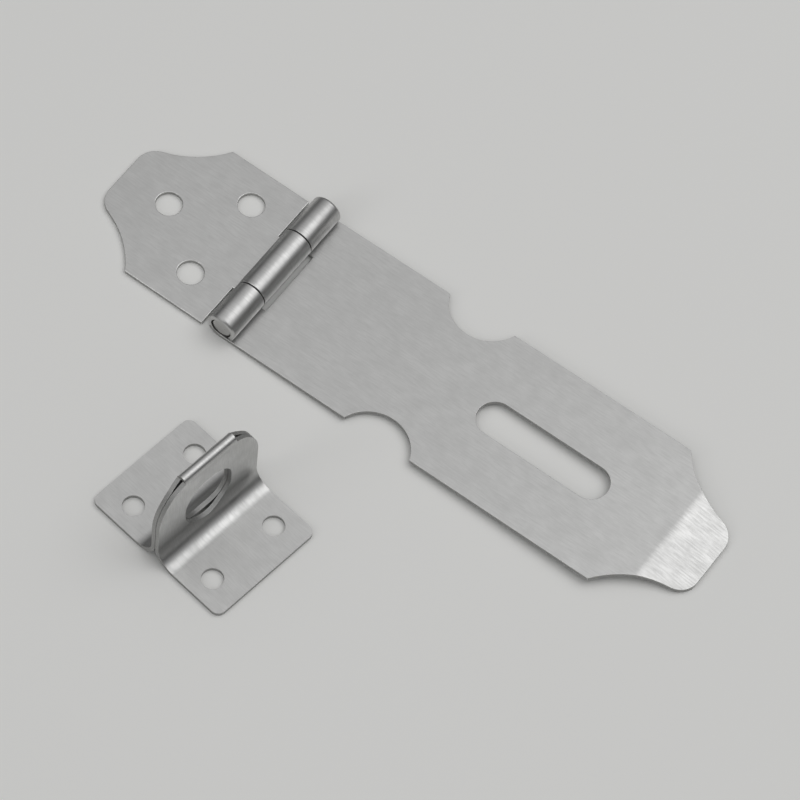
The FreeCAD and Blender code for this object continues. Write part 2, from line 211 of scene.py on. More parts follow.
class FinishSettings(bpy.types.PropertyGroup):
    """The colours and the grain of the steel."""

    steel: colour("Steel", "The brushed sheet", "c8c8c7")
    smudge: colour("Smudge", "The sheet where handling has dulled it", "c0c0bf")
    groove: colour("Groove", "The sheet in the deeper brushing streaks", "bebebd")
    # The cut face's colour is partly painted shade: darker than the sheet so that the thickness reads as a
    # dark line. The pits take it too.
    cut_face_and_shade: colour("Cut Face", "The sheared face of the sheet", "8e8e8c")
    # The rubbed edge's colour is partly a painted highlight: brighter than the sheet, so that each outline
    # catches a thin line of light.
    rubbed_highlight: colour("Rubbed Edge", "The rounded rim of every sheared edge", "e9e9e8")
    wire: colour("Wire", "The pin's drawn wire", "b6b5b2")
    # This colour is painted shade: the dark ring in the bevel round each end of the pin.
    bevel_shade: colour("Oil", "The old oil that darkens the bevel of the pin's ends", "4c4a46")
    streak_width: length("Streak Width", "Width of one brushing streak", 0.30)
    streak_length: length("Streak Length", "Length of one brushing streak", 3.2)
    smudge_size: length("Smudge Size", "Width of one smudge", 3.5)
    pit_spacing: length("Pit Spacing", "Distance between the small pits", 9.0)
    pit_size: length("Pit Size", "Radius of a pit", 0.14)
    pit_depth: length("Pit Depth", "Depth of a pit", 0.05)
    streak_depth: length("Streak Depth", "Depth of a brushing streak", 0.005)
    tear_size: length("Tear Size", "Width of one tear in a sheared face", 0.4)
    tear_depth: length("Tear Depth", "Depth of a tear", 0.02)
    nick_size: length("Nick Size", "Distance over which a rubbed edge's gloss changes", 1.5)
    die_line_width: length("Die Line Width", "Width of a drawing line on the wire", 0.3)
    die_line_length: length("Die Line Length", "Length of a drawing line", 6.0)
    die_line_depth: length("Die Line Depth", "Depth of a drawing line", 0.02)
    # The next two break up the roughness and bump of the painted shade in the pin's bevel.
    dust_size: length("Dust Size", "Width of a clot of oil and dust", 0.5)
    dust_depth: length("Dust Depth", "Thickness of the oil and dust", 0.02)


class StageSettings(bpy.types.PropertyGroup):
    """The floor, the light and the camera."""

    floor: colour("Floor", "The pale floor", "f0f0ee")
    floor_size: length("Floor Size", "Width of the floor", 4000)
    floor_fibre: length("Floor Fibre", "Width of one fibre of the floor's paper", 1.2)
    key_power: bpy.props.FloatProperty(
        name="Key Power", description="Power of the large soft light", default=2.5, unit="POWER"
    )
    key_size: length("Key Size", "Width of the large soft light", 970)
    key_place: position("Key Place", "Where the large soft light hangs, from the aim", (360, 504, 1030))
    fill_power: bpy.props.FloatProperty(
        name="Fill Power", description="Power of the weaker light", default=1.0, unit="POWER"
    )
    fill_size: length("Fill Size", "Width of the weaker light", 500)
    fill_place: position("Fill Place", "Where the weaker light hangs, from the aim", (-400, -1000, 550))
    room_light: bpy.props.FloatProperty(
        name="Room Light", description="Strength of the light from all round", default=1.27
    )
    dim_below: bpy.props.FloatProperty(
        name="Dim Below", description="Sine of the height below which the room is dim", default=0.35
    )
    bright_above: bpy.props.FloatProperty(
        name="Bright Above", description="Sine of the height above which the room is bright", default=0.9
    )
    dim_glow: bpy.props.FloatProperty(
        name="Dim Glow", description="How much light the dim part of the room gives", default=0.04
    )
    bright_glow: bpy.props.FloatProperty(
        name="Bright Glow", description="How much light the bright part of the room gives", default=0.62
    )
    azimuth: angle("Azimuth", "Where the camera stands, round the hasp", 29.16)
    elevation: angle("Elevation", "How high the camera stands", 60.55)
    roll: angle("Roll", "How far the camera leans", -7.91)
    distance: length("Distance", "From the camera to what it looks at", 941.65)
    focal_length: bpy.props.FloatProperty(
        name="Focal Length", description="The lens's focal length in millimetres", default=206.07
    )
    aim: position("Aim", "What the camera looks at", (38.03, -7.59, 0))


class HaspSettings(bpy.types.PropertyGroup):
    """Everything that a user would change."""

    sheet: bpy.props.PointerProperty(type=SheetSizes)
    leaf: bpy.props.PointerProperty(type=LeafSizes)
    strap: bpy.props.PointerProperty(type=StrapSizes)
    pin: bpy.props.PointerProperty(type=PinSizes)
    staple: bpy.props.PointerProperty(type=StapleSizes)
    finish: bpy.props.PointerProperty(type=FinishSettings)
    stage: bpy.props.PointerProperty(type=StageSettings)


# ---------------------------------------------------------------- materials


def add_node(tree, kind, inputs=None, **settings):
    """Add a node with its settings. Each input is a plain value or another node's output."""
    made = tree.nodes.new(kind)
    for name, value in settings.items():
        setattr(made, name, value)
    for socket, value in (inputs or {}).items():
        if isinstance(value, bpy.types.NodeSocket):
            tree.links.new(value, made.inputs[socket])
        else:
            made.inputs[socket].default_value = value
    return made


def start_material(name):
    """A new material with an empty tree, or the one that already has this name."""
    if name in bpy.data.materials:
        return bpy.data.materials[name], None
    material = bpy.data.materials.new(name)
    material.use_nodes = True
    material.node_tree.nodes.clear()
    return material, material.node_tree


def finish_material(tree, shader):
    """Join the shader to the tree's output."""
    add_node(tree, "ShaderNodeOutputMaterial", {"Surface": shader.outputs["BSDF"]})


def opaque(rgb):
    """A colour with full alpha, as a colour socket takes it."""
    return (*rgb, 1.0)


def satin_stainless(finish):
    """Stainless sheet, cold rolled and belt brushed along its length. The streaks follow the metal
    round its bends and give a satin gloss; handling leaves soft duller clouds and a few fine pits.
    A real streak is a few hundredths of a millimetre wide, and is drawn coarser here to be seen."""
    material, tree = start_material("satin_stainless")
    if tree is None:
        return material
    place = add_node(tree, "ShaderNodeAttribute", attribute_name=FLAT_PLACE).outputs["Vector"]
    fine = 1 / finish.streak_width
    stretched = add_node(
        tree, "ShaderNodeMapping", {"Vector": place, "Scale": (1 / finish.streak_length, fine, fine)}
    )
    streaks = add_node(
        tree, "ShaderNodeTexNoise", {"Vector": stretched.outputs[0], "Scale": 1.0, "Detail": 4.0}
    )
    clouds = add_node(
        tree,
        "ShaderNodeTexNoise",
        {"Vector": place, "Scale": 1 / finish.smudge_size, "Detail": 4.0, "Roughness": 0.6},
    )
    pits = add_node(
        tree, "ShaderNodeTexVoronoi", {"Vector": place, "Scale": 1 / finish.pit_spacing}
    )
    pitted = add_node(
        tree,
        "ShaderNodeMapRange",
        {
            "Value": pits.outputs["Distance"],
            "From Min": 0.0,
            "From Max": finish.pit_size / finish.pit_spacing,
            "To Min": 1.0,
            "To Max": 0.0,
        },
    )
    dulled = add_node(
        tree,
        "ShaderNodeMapRange",
        {"Value": clouds.outputs["Fac"], "From Min": 0.35, "From Max": 0.75, "To Min": 0.0, "To Max": 1.0},
    )
    tone = add_node(
        tree,
        "ShaderNodeMix",
        {"Factor": dulled.outputs[0], "A": opaque(finish.steel), "B": opaque(finish.smudge)},
        data_type="RGBA",
    )
    grooved = add_node(
        tree,
        "ShaderNodeMapRange",
        {"Value": streaks.outputs["Fac"], "From Min": 0.4, "From Max": 0.75, "To Min": 0.0, "To Max": 1.0},
    )
    streaked = add_node(
        tree,
        "ShaderNodeMix",
        {"Factor": grooved.outputs[0], "A": tone.outputs["Result"], "B": opaque(finish.groove)},
        data_type="RGBA",
    )
    # The pits are drawn in the cut face's darker colour: painted shade in the recesses.
    pit_colour = add_node(
        tree,
        "ShaderNodeMix",
        {"Factor": pitted.outputs[0], "A": streaked.outputs["Result"], "B": opaque(finish.cut_face_and_shade)},
        data_type="RGBA",
    )
    gloss = add_node(
        tree,
        "ShaderNodeMapRange",
        {"Value": streaks.outputs["Fac"], "From Min": 0.3, "From Max": 0.7, "To Min": 0.30, "To Max": 0.42},
    )
    duller = add_node(
        tree,
        "ShaderNodeMath",
        {0: dulled.outputs[0], 1: SMUDGE_DULLING, 2: gloss.outputs[0]},
        operation="MULTIPLY_ADD",
    )
    grain = add_node(
        tree,
        "ShaderNodeBump",
        {"Height": streaks.outputs["Fac"], "Distance": finish.streak_depth, "Strength": 0.6},
    )
    dents = add_node(
        tree,
        "ShaderNodeBump",
        {
            "Height": pitted.outputs[0],
            "Distance": finish.pit_depth,
            "Strength": 0.5,
            "Normal": grain.outputs["Normal"],
        },
        invert=True,
    )
    shader = add_node(
        tree,
        "ShaderNodeBsdfPrincipled",
        {
            "Base Color": pit_colour.outputs["Result"],
            "Metallic": 1.0,
            "Roughness": duller.outputs[0],
            "Normal": dents.outputs["Normal"],
        },
    )
    finish_material(tree, shader)
    return material


def sheared_shaded_stainless(finish):
    """The face that a punch or shear leaves through the sheet's thickness: torn and matt in patches
    and greyer than the sheet, partly as painted shade, so that the thickness reads as a darker line."""
    material, tree = start_material("sheared_shaded_stainless")
    if tree is None:
        return material
    place = add_node(tree, "ShaderNodeAttribute", attribute_name=FLAT_PLACE).outputs["Vector"]
    tearing = add_node(
        tree, "ShaderNodeTexNoise", {"Vector": place, "Scale": 1 / finish.tear_size, "Detail": 5.0}
    )
    tone = add_node(
        tree,
        "ShaderNodeMix",
        {"Factor": tearing.outputs["Fac"], "A": opaque(finish.cut_face_and_shade), "B": opaque(finish.smudge)},
        data_type="RGBA",
    )
    gloss = add_node(
        tree, "ShaderNodeMapRange", {"Value": tearing.outputs["Fac"], "To Min": 0.35, "To Max": 0.62}
    )
    torn = add_node(
        tree,
        "ShaderNodeBump",
        {"Height": tearing.outputs["Fac"], "Distance": finish.tear_depth, "Strength": 0.6},
    )
    shader = add_node(
        tree,
        "ShaderNodeBsdfPrincipled",
        {
            "Base Color": tone.outputs["Result"],
            "Metallic": 1.0,
            "Roughness": gloss.outputs[0],
            "Normal": torn.outputs["Normal"],
        },
    )
    finish_material(tree, shader)
    return material


def rubbed_highlight_stainless(finish):
    """The rim of a sheared edge, burnished by tumbling and handling: smoother than the sheet, and
    brighter in colour as a painted highlight, so that every outline catches a thin line of light."""
    material, tree = start_material("rubbed_highlight_stainless")
    if tree is None:
        return material
    place = add_node(tree, "ShaderNodeAttribute", attribute_name=FLAT_PLACE).outputs["Vector"]
    nicks = add_node(
        tree, "ShaderNodeTexNoise", {"Vector": place, "Scale": 1 / finish.nick_size, "Detail": 4.0}
    )
    tone = add_node(
        tree,
        "ShaderNodeMix",
        {"Factor": nicks.outputs["Fac"], "A": opaque(finish.rubbed_highlight), "B": opaque(finish.steel)},
        data_type="RGBA",
    )
    gloss = add_node(
        tree, "ShaderNodeMapRange", {"Value": nicks.outputs["Fac"], "To Min": 0.18, "To Max": 0.42}
    )
    shader = add_node(
        tree,
        "ShaderNodeBsdfPrincipled",
        {"Base Color": tone.outputs["Result"], "Metallic": 1.0, "Roughness": gloss.outputs[0]},
    )
    finish_material(tree, shader)
    return material


def drawn_wire(finish):
    """Steel wire drawn through a die and cropped to length: faint lines along it, which come out on
    its cropped ends as faint specks."""
    material, tree = start_material("drawn_wire")
    if tree is None:
        return material
    place = add_node(tree, "ShaderNodeTexCoord").outputs["Object"]
    fine = 1 / finish.die_line_width
    stretched = add_node(
        tree, "ShaderNodeMapping", {"Vector": place, "Scale": (fine, 1 / finish.die_line_length, fine)}
    )
    lines = add_node(
        tree, "ShaderNodeTexNoise", {"Vector": stretched.outputs[0], "Scale": 1.0, "Detail": 4.0}
    )
    tone = add_node(
        tree,
        "ShaderNodeMix",
        {"Factor": lines.outputs["Fac"], "A": opaque(finish.wire), "B": opaque(finish.steel)},
        data_type="RGBA",
    )
    gloss = add_node(
        tree, "ShaderNodeMapRange", {"Value": lines.outputs["Fac"], "To Min": 0.2, "To Max": 0.4}
    )
    ridges = add_node(
        tree,
        "ShaderNodeBump",
        {"Height": lines.outputs["Fac"], "Distance": finish.die_line_depth, "Strength": 0.7},
    )
    shader = add_node(
        tree,
        "ShaderNodeBsdfPrincipled",
        {
            "Base Color": tone.outputs["Result"],
            "Metallic": 1.0,
            "Roughness": gloss.outputs[0],
            "Normal": ridges.outputs["Normal"],
        },
    )
    finish_material(tree, shader)
    return material


def shaded_bevel_wire(finish):
    """Painted shade in the bevel of the pin's ends: a dark, dull ring round a bright end, its roughness and
    bump broken up by noise.
    """
    material, tree = start_material("shaded_bevel_wire")
    if tree is None:
        return material
    place = add_node(tree, "ShaderNodeTexCoord").outputs["Object"]
    dust = add_node(
        tree, "ShaderNodeTexNoise", {"Vector": place, "Scale": 1 / finish.dust_size, "Detail": 3.0}
    )
    gloss = add_node(
        tree, "ShaderNodeMapRange", {"Value": dust.outputs["Fac"], "To Min": 0.35, "To Max": 0.6}
    )
    crust = add_node(
        tree,
        "ShaderNodeBump",
        {"Height": dust.outputs["Fac"], "Distance": finish.dust_depth, "Strength": 0.5},
    )
    shader = add_node(
        tree,
        "ShaderNodeBsdfPrincipled",
        {
            "Base Color": opaque(finish.bevel_shade),
            "Metallic": 1.0,
            "Roughness": gloss.outputs[0],
            "Normal": crust.outputs["Normal"],
        },
    )
    finish_material(tree, shader)
    return material


# ---------------------------------------------------------------- a strip of sheet, folded


class Strip:
    """A strip of sheet seen from its edge, in the XZ plane: the line that its underside takes, and
    the way that its thickness lies. It is what a press brake is told."""

    def __init__(self, gauge, start, heading=0.0):
        self.gauge = gauge
        self.start = Vector(start)
        self.across = Vector((-math.sin(heading), math.cos(heading)))
        self.end, self.end_across = self.start, self.across
        self.used = 0.0
        self.spans = []

    def run(self, step):
        """Go straight on by a step. The strip's end keeps its direction."""
        step = Vector(step)
        self.spans.append(("run", self.end, self.end_across, step, self.used))
        self.end = self.end + step
        self.used += step.length

    def bend(self, centre, turn):
        """Go round a centre, turning left where the turn is positive."""
        centre = Vector(centre)
        near = (self.end - centre).length
        far = (self.end + self.end_across * self.gauge - centre).length
        self.spans.append(("bend", self.end, self.end_across, (centre, turn, near, far), self.used))
        around = Matrix.Rotation(turn, 2)
        self.end = centre + around @ (self.end - centre)
        self.end_across = around @ self.end_across
        self.used += abs(turn) * (near + far) / 2

    def unfold(self, point):
        """Where a point of the folded strip was in the flat: how far along, and how deep."""
        best = None
        for kind, start, across, shape, used in self.spans:
            if kind == "run":
                direction = shape.normalized()
                solve = Matrix(((direction.x, across.x), (direction.y, across.y))).inverted()
                along, depth = solve @ (point - start)
                total = shape.length
            else:
                centre, turn, near, far = shape
                arm = point - centre
                first = start - centre
                swept = math.atan2(first.x * arm.y - first.y * arm.x, first.dot(arm))
                swept = swept * math.copysign(1, turn)
                if swept < -BEHIND_A_BEND:
                    swept += 2 * math.pi
                along = swept * (near + far) / 2
                depth = (arm.length - near) / (far - near) * self.gauge
                total = abs(turn) * (near + far) / 2
            outside = max(0, -along, along - total) + max(0, -depth, depth - self.gauge)
            if best is None or outside < best[0]:
                best = (outside, used + along, depth)
        return best[1], best[2]


def deselect_all():
    """Let the next operator work on nothing but what it makes."""
    bpy.ops.object.select_all(action="DESELECT")


def start_piece(name):
    """Name the primitive that was just added, settle its place into its mesh and open it for edit."""
    piece = bpy.context.object
    piece.name = piece.data.name = name
    bpy.ops.object.transform_apply(location=True, rotation=True, scale=True)
    bpy.ops.object.mode_set(mode="EDIT")
    return piece


def close_piece():
    """Weld the doubles, turn every face outwards and leave edit mode."""
    bpy.ops.mesh.select_all(action="SELECT")
    bpy.ops.mesh.remove_doubles(threshold=WELD)
    bpy.ops.mesh.normals_make_consistent(inside=False)
    bpy.ops.object.mode_set(mode="OBJECT")


def spin_round(centre, axis, turn):
    """Spin what is selected round an axis. The operator counts its angle the other way round."""
    steps = max(FEWEST_STEPS, math.ceil(abs(turn) / ARC_STEP))
    bpy.ops.mesh.spin(steps=steps, angle=-turn, center=centre, axis=axis)


def fold(name, strip, width, facing=1):
    """Fold a strip: its end face is drawn out along each run and spun round each bend. Facing -1
    makes it the other way round along X."""
    def spread(place):
        return Vector((place.x * facing, 0, place.y))

    deselect_all()
    middle = spread(strip.start + strip.across * strip.gauge / 2)
    tilt = math.atan2(-strip.across.x * facing, strip.across.y)
    bpy.ops.mesh.primitive_plane_add(size=1, location=middle, rotation=(0, math.pi / 2 - tilt, 0))
    bpy.context.object.scale = (strip.gauge, width, 1)
    piece = start_piece(name)
    for kind, _, _, shape, _ in strip.spans:
        if kind == "run":
            bpy.ops.mesh.extrude_region_move(TRANSFORM_OT_translate={"value": spread(shape)})
        else:
            centre, turn = shape[:2]
            spin_round(spread(centre), (0, -facing, 0), turn)
    close_piece()
    return piece


# ---------------------------------------------------------------- cutting and finishing


def blade(start, moves, facing="Z"):
    """A cutter: an outline walked from point to point, straight to a corner or round a centre by an
    angle, then filled and drawn out to both sides. Facing X cuts through a fin that stands along Y."""
    deselect_all()
    bpy.ops.mesh.primitive_plane_add(size=1)
    cutter = start_piece("blade")
    bpy.ops.mesh.merge(type="CENTER")
    place = Vector((*start, -CUTTER_REACH))
    bpy.ops.transform.translate(value=place)
    for move in moves:
        if len(move) == 2:
            corner = Vector((*move, -CUTTER_REACH))
            bpy.ops.mesh.extrude_vertices_move(TRANSFORM_OT_translate={"value": corner - place})
            place = corner
        else:
            centre, turn = Vector((*move[:2], -CUTTER_REACH)), move[2]
            spin_round(centre, (0, 0, 1), turn)
            place = centre + Matrix.Rotation(turn, 3, "Z") @ (place - centre)
    bpy.ops.mesh.select_all(action="SELECT")
    bpy.ops.mesh.remove_doubles(threshold=WELD)
    bpy.ops.mesh.edge_face_add()
    bpy.ops.mesh.extrude_region_move(TRANSFORM_OT_translate={"value": (0, 0, 2 * CUTTER_REACH)})
    close_piece()
    if facing == "X":
        cutter.rotation_euler = (math.pi / 2, 0, math.pi / 2)
        bpy.ops.object.transform_apply(rotation=True)
    return cutter


def punch(x, y, diameter):
    """A round cutter that stands upright."""
    deselect_all()
    bpy.ops.mesh.primitive_cylinder_add(
        vertices=HOLE_SIDES, radius=diameter / 2, depth=2 * CUTTER_REACH, location=(x, y, 0)
    )
    bpy.ops.object.transform_apply(location=True)
    return bpy.context.object


def block(low, high):
    """A square cutter that stands upright."""
    return blade(low, [(high[0], low[1]), high, (low[0], high[1]), low])


def slot_blade(near, far, radius, facing="Z"):
    """A cutter with round ends, between the centres of its ends."""
    along = (Vector(far) - Vector(near)).normalized()
    side = Vector((-along.y, along.x)) * radius
    far, near = Vector(far), Vector(near)
    moves = [tuple(far - side), (*far, math.pi), tuple(near + side), (*near, math.pi)]
    return blade(tuple(near - side), moves, facing)


def nose_blades(facing, sizes, sheet):
    """The two cutters beside a nose: a hollow sweep from the shoulder that runs into the nose's own
    rounded corner with no break."""
    half_width = sheet.width / 2
    beyond = sizes.reach + OVERCUT
    shoulder = Vector((sizes.shoulder, half_width))
    rounding = Vector((sizes.reach - sheet.nose_corner, sheet.nose_width / 2 - sheet.nose_corner))
    away = rounding - shoulder
    spread = sizes.hollow + sheet.nose_corner
    foot = (sizes.hollow**2 - spread**2 + away.length_squared) / (2 * away.length)
    heading = away.normalized()
    rise = math.sqrt(sizes.hollow**2 - foot**2)
    hollow = shoulder + heading * foot + Vector((-heading.y, heading.x)) * rise
    swept = (shoulder - hollow).angle_signed(rounding - hollow) * -1
    meeting = (hollow - rounding).normalized() * sheet.nose_corner
    rounded = meeting.angle_signed(Vector((1, 0))) * -1
    cutters = []
    for hand in (1, -1):
        flip = facing * hand
        moves = [
            (hollow.x * facing, hollow.y * hand, swept * flip),
            (rounding.x * facing, rounding.y * hand, rounded * flip),
            (beyond * facing, rounding.y * hand),
            (beyond * facing, (half_width + OVERCUT) * hand),
            (shoulder.x * facing, (half_width + OVERCUT) * hand),
            (shoulder.x * facing, half_width * hand),
        ]
        cutters.append(blade((shoulder.x * facing, half_width * hand), moves))
    return cutters


def cut_away(piece, cutters):
    """Cut each cutter out of a piece, and take the cutter away."""
    for cutter in cutters:
        deselect_all()
        bpy.context.view_layer.objects.active = piece
        bpy.ops.object.modifier_add(type="BOOLEAN")
        cut = piece.modifiers[-1]
        cut.operation = "DIFFERENCE"
        cut.solver = "EXACT"
        cut.object = cutter
        before = len(piece.data.vertices)
        bpy.ops.object.modifier_apply(modifier=cut.name)
        if len(piece.data.vertices) == before:
            raise RuntimeError(f"a cutter takes nothing off {piece.name}")
        bpy.data.objects.remove(cutter)


def round_edges(piece, test, radius, segments):
    """Round the edges of a piece that a test on their two ends picks."""
    deselect_all()
    bpy.context.view_layer.objects.active = piece
    bpy.ops.object.mode_set(mode="EDIT")
    bpy.ops.mesh.select_mode(type="EDGE")
    bpy.ops.mesh.select_all(action="DESELECT")
    bpy.ops.object.mode_set(mode="OBJECT")
    places = [v.co for v in piece.data.vertices]
    for edge in piece.data.edges:
        edge.select = test(*(places[i] for i in edge.vertices))
    bpy.ops.object.mode_set(mode="EDIT")
    bpy.ops.mesh.bevel(offset=radius, segments=segments, affect="EDGES")
    bpy.ops.mesh.select_mode(type="VERT")
    bpy.ops.object.mode_set(mode="OBJECT")


def round_rims(piece, sheet, half_length, outer, lowest, radius):
    """Round the two rims of a barrel or a pin, above a height."""
    axis = Vector((0, axis_height(sheet)))

    def is_rim(one, other):
        return one.y * other.y > 0 and all(
            math.isclose(abs(p.y), half_length, abs_tol=WELD)
            and math.isclose((p.xz - axis).length, outer, abs_tol=RIM_SLACK)
            and p.z > lowest
            for p in (one, other)
        )

    round_edges(piece, is_rim, radius, EDGE_SEGMENTS)


def unfolded(strip, co, facing):
    """A point's place in the flat strip: along it, across it and up from its underside."""
    along, depth = strip.unfold(Vector((co.x * facing, co.z)))
    return Vector((along, co.y, depth))


def dress_sheet(piece, strip, facing, settings):
    """Give a folded piece its finishes: brushed faces, sheared faces through the thickness, greyer
    partly as painted shade, and a rubbed rim along every sheared edge, brighter as a painted
    highlight, with its place in the flat strip for the grain."""
    finish = settings.finish
    for material in (satin_stainless(finish), sheared_shaded_stainless(finish), rubbed_highlight_stainless(finish)):
        piece.data.materials.append(material)
    depths = [unfolded(strip, v.co, facing).z for v in piece.data.vertices]
    # Faces through the thickness get the sheared material, which is partly painted shade.
    for face in piece.data.polygons:
        ends = [depths[i] for i in face.vertices]
        is_cut = max(ends) - min(ends) > strip.gauge / 2
        face.material_index = CUT_FACE if is_cut else SURFACE
    # The rounded rims get the rubbed material, a painted highlight along every sheared edge.
    ease_edges(piece, settings.sheet.edge_round, RUBBED_HIGHLIGHT_EDGE)
    places = [unfolded(strip, v.co, facing) for v in piece.data.vertices]
    grain = piece.data.attributes.new(FLAT_PLACE, "FLOAT_VECTOR", "POINT")
    grain.data.foreach_set("vector", [number for place in places for number in place])


def ease_edges(piece, width, material=-1):
    """Round every sharp edge a little, and shade the piece smoothly between them."""
    deselect_all()
    piece.select_set(True)
    bpy.context.view_layer.objects.active = piece
    bpy.ops.object.shade_smooth_by_angle(angle=SMOOTH_BELOW)
    bpy.ops.object.modifier_add(type="BEVEL")
    bevel = piece.modifiers[-1]
    bevel.width = width
    bevel.segments = EDGE_SEGMENTS
    bevel.limit_method = "ANGLE"
    bevel.angle_limit = SHARP_ABOVE
    bevel.material = material
    bevel.harden_normals = True
    bpy.ops.object.modifier_apply(modifier=bevel.name)


def settle(piece, body, node):
    """Let a finished piece stand for its working part."""
    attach(piece, body)
    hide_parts(node)


def axis_height(sheet):
    """The hinge axis above the surface: the leaf's knuckle rests on it."""
    return sheet.pin_radius + sheet.pin_clearance + sheet.gauge


def roll_up(strip, bore, sheet):
    """Roll the strip's end up into a knuckle, to a seam just above the sheet."""
    outer = bore + sheet.gauge
    below = outer - sheet.gauge - sheet.seam_gap
    strip.bend((0, axis_height(sheet)), THREE_QUARTER_TURN + math.asin(below / outer))


# ---------------------------------------------------------------- the pieces


class HASP_OT_fixed_leaf(bpy.types.Operator):
    """Make the fixed leaf with the barrel's middle knuckle"""

    bl_idname = "hasp.fixed_leaf"
    bl_label = "Fixed Leaf"

    def execute(self, context):
        settings = context.scene.hasp
        sheet, leaf = settings.sheet, settings.leaf
        bore = sheet.pin_radius + sheet.pin_clearance
        strip = Strip(sheet.gauge, (-leaf.reach, 0))
        strip.run((leaf.reach, 0))
        roll_up(strip, bore, sheet)
        piece = fold("fixed_leaf_sheet", strip, sheet.width)

        tab = sheet.middle_knuckle / 2
        relief = -(bore + sheet.gauge + leaf.relief)
        outside = sheet.width / 2 + OVERCUT
        beyond = axis_height(sheet) + OVERCUT
        half_spacing = leaf.screw_spacing / 2
        screws = [(leaf.near_screws, half_spacing), (leaf.near_screws, -half_spacing), (leaf.far_screw, 0)]
        cut_away(piece, nose_blades(-1, leaf, sheet))
        notches = [block((relief, tab), (beyond, outside)), block((relief, -outside), (beyond, -tab))]
        cut_away(piece, notches)
        cut_away(piece, [punch(-x, y, leaf.screw_hole) for x, y in screws])
        dress_sheet(piece, strip, 1, settings)
        settle(piece, "leaf", "fixed_leaf")
        return {"FINISHED"}


class HASP_OT_strap(bpy.types.Operator):
    """Make the slotted strap with its two knuckles and its turned-down nose"""

    bl_idname = "hasp.strap"
    bl_label = "Strap"

    def execute(self, context):
        settings = context.scene.hasp
        sheet, strap = settings.sheet, settings.strap
        strip = self.make_strip(sheet, strap)
        piece = fold("hasp_strap_sheet", strip, sheet.width, facing=-1)
        half_width = sheet.width / 2
        barrel = axis_height(sheet)
        gap = sheet.middle_knuckle / 2 + sheet.knuckle_gap
        grip = half_width + strap.grip_offset
        slot = strap.slot_width / 2
        cut_away(piece, nose_blades(1, strap, sheet))
        cut_away(piece, [punch(strap.grip_place, grip * hand, 2 * strap.grip_radius) for hand in (1, -1)])
        cut_away(piece, [block((-barrel - OVERCUT, -gap), (barrel + strap.relief, gap))])
        cut_away(piece, [slot_blade((strap.slot_near + slot, 0), (strap.slot_far - slot, 0), slot)])
        outer = sheet.pin_radius + sheet.gauge
        round_rims(piece, sheet, half_width, outer, 2 * sheet.gauge, sheet.knuckle_round)
        dress_sheet(piece, strip, -1, settings)
        self.set_down(piece, strip, sheet)
        settle(piece, "strap", "hasp_strap")
        return {"FINISHED"}

    def make_strip(self, sheet, strap):
        """The strap's strip, from the end of its nose to the rolled end."""
        base = sheet.pin_clearance
        over = strap.bend_radius + sheet.gauge
        sine, cosine = math.sin(strap.bend_angle), math.cos(strap.bend_angle)
        nose = (strap.reach - strap.bend_place - over * sine) / cosine
        centre = Vector((-strap.bend_place, base - strap.bend_radius))
        bend_end = centre + Vector((-sine, cosine)) * strap.bend_radius
        step = Vector((cosine, sine)) * nose
        strip = Strip(sheet.gauge, bend_end - step, strap.bend_angle)
        strip.run(step)
        strip.bend(centre, -strap.bend_angle)
        strip.run((strap.bend_place, 0))
        roll_up(strip, sheet.pin_radius, sheet)
        return strip

    def set_down(self, piece, strip, sheet):
        """Turn the strap up about the hinge until the lower edge of its nose lies on the surface."""
        axis = axis_height(sheet)
        nose = -strip.start.x
        drop = axis - strip.start.y
        lift = math.atan(drop / nose) - math.asin(axis / math.hypot(nose, drop))
        axle = Matrix.Translation((0, 0, axis))
        piece.data.transform(axle @ Matrix.Rotation(-lift, 4, "Y") @ axle.inverted())


class HASP_OT_pin(bpy.types.Operator):
    """Make the hinge pin"""

    bl_idname = "hasp.pin"
    bl_label = "Hinge Pin"

    def execute(self, context):
        settings = context.scene.hasp
        sheet, pin = settings.sheet, settings.pin
        total = sheet.width - 2 * pin.recess
        deselect_all()
        bpy.ops.mesh.primitive_cylinder_add(
            vertices=PIN_SIDES,
            radius=sheet.pin_radius,
            depth=total,
            location=(0, 0, axis_height(sheet)),
            rotation=(math.pi / 2, 0, 0),
        )
        piece = start_piece("hinge_pin_wire")
        bpy.ops.mesh.select_mode(type="FACE")
        bpy.ops.mesh.select_all(action="DESELECT")
        bpy.ops.object.mode_set(mode="OBJECT")
        for face in piece.data.polygons:
            face.select = abs(face.normal.y) > END_SLOPE
        bpy.ops.object.mode_set(mode="EDIT")
        bpy.ops.mesh.inset(thickness=pin.bevel + pin.land, depth=0, use_individual=True)
        close_piece()
        round_rims(piece, sheet, total / 2, sheet.pin_radius, 0, pin.bevel)
        ease_edges(piece, pin.edge_round)
        piece.data.materials.append(drawn_wire(settings.finish))
        piece.data.materials.append(shaded_bevel_wire(settings.finish))
        bevel_foot = total / 2 - pin.bevel
        # The bevel round each end gets the painted shade.
        for face in piece.data.polygons:
            is_bevel = abs(face.center.y) > bevel_foot and abs(face.normal.y) < BEVEL_SLOPE
            face.material_index = SHADED_BEVEL if is_bevel else SURFACE
        settle(piece, "strap", "hinge_pin")
        return {"FINISHED"}


